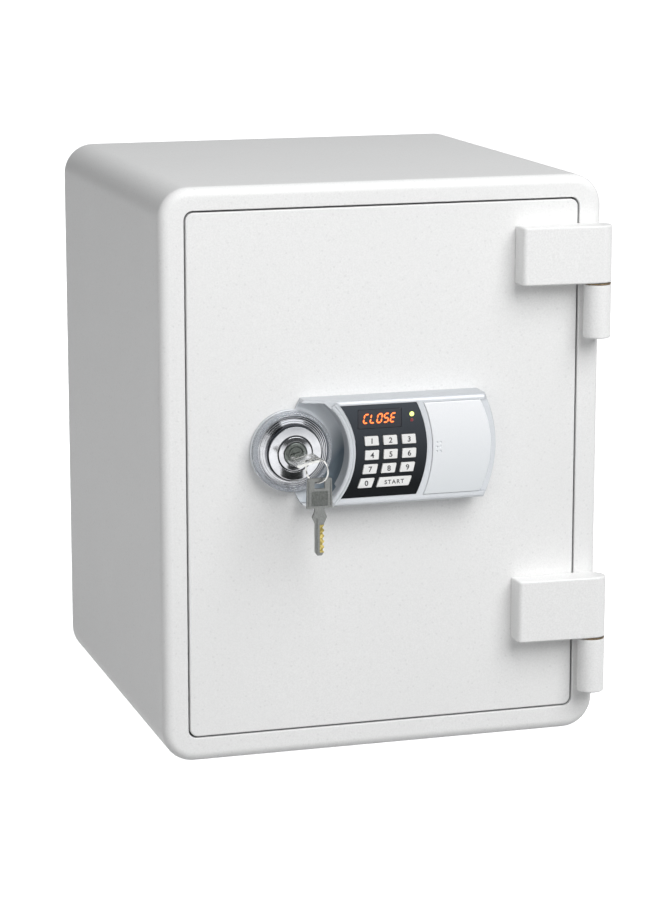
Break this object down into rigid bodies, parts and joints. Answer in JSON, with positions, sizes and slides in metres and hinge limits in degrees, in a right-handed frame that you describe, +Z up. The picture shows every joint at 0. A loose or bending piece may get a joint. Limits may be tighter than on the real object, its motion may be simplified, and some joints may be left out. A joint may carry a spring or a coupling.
{
  "type": "fireproof document safe",
  "caption": "Upright fire-resistant document safe with a hinged front door, keypad lock with red display, and a key-locked clear knob.",
  "frame": {"origin": "centre of the base's footprint, on the surface it stands on", "axes": "+Z up, the door faces -Y, +X to the right as one faces the door"},
  "size_m": [0.4072, 0.4601, 0.508],
  "materials": {
    "white_powder_coat": "satin",
    "grey_paint": "satin",
    "mineral_fill": "matte",
    "seal_rubber": "matte",
    "cable_jacket": "satin",
    "brass": "satin",
    "plug_brass": "satin",
    "plain_steel": "satin",
    "chrome": "polished",
    "silver_plastic": "satin",
    "clear_plastic": "gloss",
    "black_plastic": "gloss",
    "display_red": "gloss",
    "lamp_green": "gloss",
    "circuit_green": "satin",
    "cell_sleeve": "gloss",
    "white_plastic": "satin",
    "button_white": "satin",
    "nickel": "polished"
  },
  "bodies": {
    "safe_body": {"body_shell": "white_powder_coat", "back_panel": "white_powder_coat", "body_insulation": "mineral_fill", "door_jamb": "grey_paint", "inner_liner": "grey_paint", "door_seal": "seal_rubber", "shelf": "grey_paint", "hinge_knuckle_upper": "white_powder_coat", "hinge_pin_upper": "plain_steel", "hinge_washer_upper": "brass", "hinge_knuckle_lower": "white_powder_coat", "hinge_pin_lower": "plain_steel", "hinge_washer_lower": "brass"},
    "door": {"hinge_leaf_upper": "white_powder_coat", "hinge_leaf_lower": "white_powder_coat", "door_outer_panel": "white_powder_coat", "door_back_frame": "grey_paint", "door_insulation": "mineral_fill", "mechanism_plate": "plain_steel", "inner_cover": "grey_paint", "dead_bolt_lower": "chrome", "dead_bolt_upper": "chrome", "guide_bracket_lower": "plain_steel", "guide_bracket_upper": "plain_steel", "solenoid_body": "plain_steel", "signal_cable": "cable_jacket", "lock_housing": "silver_plastic", "control_fascia": "black_plastic", "display_window": "display_red", "indicator_lamp": "lamp_green", "circuit_board": "circuit_green", "battery_1": "cell_sleeve", "battery_2": "cell_sleeve", "battery_3": "cell_sleeve", "battery_4": "cell_sleeve", "knob_flange": "silver_plastic"},
    "bolt_work": {"bolt_carriage": "plain_steel", "live_bolt_lower": "chrome", "live_bolt_upper": "chrome"},
    "locking_pin": {"solenoid_pin": "plain_steel"},
    "knob": {"knob_grip": "clear_plastic", "knob_bezel": "chrome", "lock_cylinder": "nickel", "knob_spindle": "plain_steel"},
    "plug": {"lock_plug": "plug_brass"},
    "main_key": {"key_inserted": "nickel"},
    "ring": {"key_ring": "nickel"},
    "second_key": {"spare_key": "nickel"},
    "battery_door": {"battery_cover": "white_plastic"},
    "press_0": {"button_0": "button_white"},
    "press_1": {"button_1": "button_white"},
    "press_2": {"button_2": "button_white"},
    "press_3": {"button_3": "button_white"},
    "press_4": {"button_4": "button_white"},
    "press_5": {"button_5": "button_white"},
    "press_6": {"button_6": "button_white"},
    "press_7": {"button_7": "button_white"},
    "press_8": {"button_8": "button_white"},
    "press_9": {"button_9": "button_white"},
    "press_start": {"button_start": "button_white"}
  },
  "joints": [
    {"name": "door_swing", "type": "hinge", "parent": "safe_body", "child": "door", "pos_m": [0.193, -0.208, 0.25], "axis": [0, 0, 1], "range_deg": [0, 170]},
    {"name": "knob_turn", "type": "hinge", "parent": "door", "child": "knob", "pos_m": [-0.0876, -0.208, 0.2766], "axis": [0, -1, 0], "range_deg": [0, 90]},
    {"name": "bolt_throw", "type": "slide", "parent": "door", "child": "bolt_work", "axis": [-1, 0, 0], "range_m": [0, 0.018]},
    {"name": "pin_travel", "type": "slide", "parent": "door", "child": "locking_pin", "axis": [-1, 0, 0], "range_m": [0, 0.005]},
    {"name": "plug_turn", "type": "hinge", "parent": "knob", "child": "plug", "pos_m": [-0.0876, -0.21, 0.2766], "axis": [0, 1, 0], "range_deg": [0, 90]},
    {"name": "key_slide", "type": "slide", "parent": "plug", "child": "main_key", "axis": [0, -1, 0], "range_m": [0, 0.032]},
    {"name": "ring_swing", "type": "hinge", "parent": "main_key", "child": "ring", "pos_m": [-0.0806, -0.2564, 0.281], "axis": [0.7071, -0.7071, 0], "range_deg": [-25, 6]},
    {"name": "spare_key_swing", "type": "hinge", "parent": "ring", "child": "second_key", "pos_m": [-0.0806, -0.2564, 0.259], "axis": [0.7071, -0.7071, 0], "range_deg": [-30, 18]},
    {"name": "battery_cover_slide", "type": "slide", "parent": "door", "child": "battery_door", "axis": [1, 0, 0], "range_m": [0, 0.055]},
    {"name": "button_0_press", "type": "slide", "parent": "door", "child": "press_0", "axis": [0, 1, 0], "range_m": [0, 0.0008], "stiffness_N_per_m": 600},
    {"name": "button_1_press", "type": "slide", "parent": "door", "child": "press_1", "axis": [0, 1, 0], "range_m": [0, 0.0008], "stiffness_N_per_m": 600},
    {"name": "button_2_press", "type": "slide", "parent": "door", "child": "press_2", "axis": [0, 1, 0], "range_m": [0, 0.0008], "stiffness_N_per_m": 600},
    {"name": "button_3_press", "type": "slide", "parent": "door", "child": "press_3", "axis": [0, 1, 0], "range_m": [0, 0.0008], "stiffness_N_per_m": 600},
    {"name": "button_4_press", "type": "slide", "parent": "door", "child": "press_4", "axis": [0, 1, 0], "range_m": [0, 0.0008], "stiffness_N_per_m": 600},
    {"name": "button_5_press", "type": "slide", "parent": "door", "child": "press_5", "axis": [0, 1, 0], "range_m": [0, 0.0008], "stiffness_N_per_m": 600},
    {"name": "button_6_press", "type": "slide", "parent": "door", "child": "press_6", "axis": [0, 1, 0], "range_m": [0, 0.0008], "stiffness_N_per_m": 600},
    {"name": "button_7_press", "type": "slide", "parent": "door", "child": "press_7", "axis": [0, 1, 0], "range_m": [0, 0.0008], "stiffness_N_per_m": 600},
    {"name": "button_8_press", "type": "slide", "parent": "door", "child": "press_8", "axis": [0, 1, 0], "range_m": [0, 0.0008], "stiffness_N_per_m": 600},
    {"name": "button_9_press", "type": "slide", "parent": "door", "child": "press_9", "axis": [0, 1, 0], "range_m": [0, 0.0008], "stiffness_N_per_m": 600},
    {"name": "button_start_press", "type": "slide", "parent": "door", "child": "press_start", "axis": [0, 1, 0], "range_m": [0, 0.0008], "stiffness_N_per_m": 600}
  ],
  "couplings": [
    {"joint": "bolt_throw", "follows": "knob_turn", "m_per_rad": 0.011459}
  ]
}
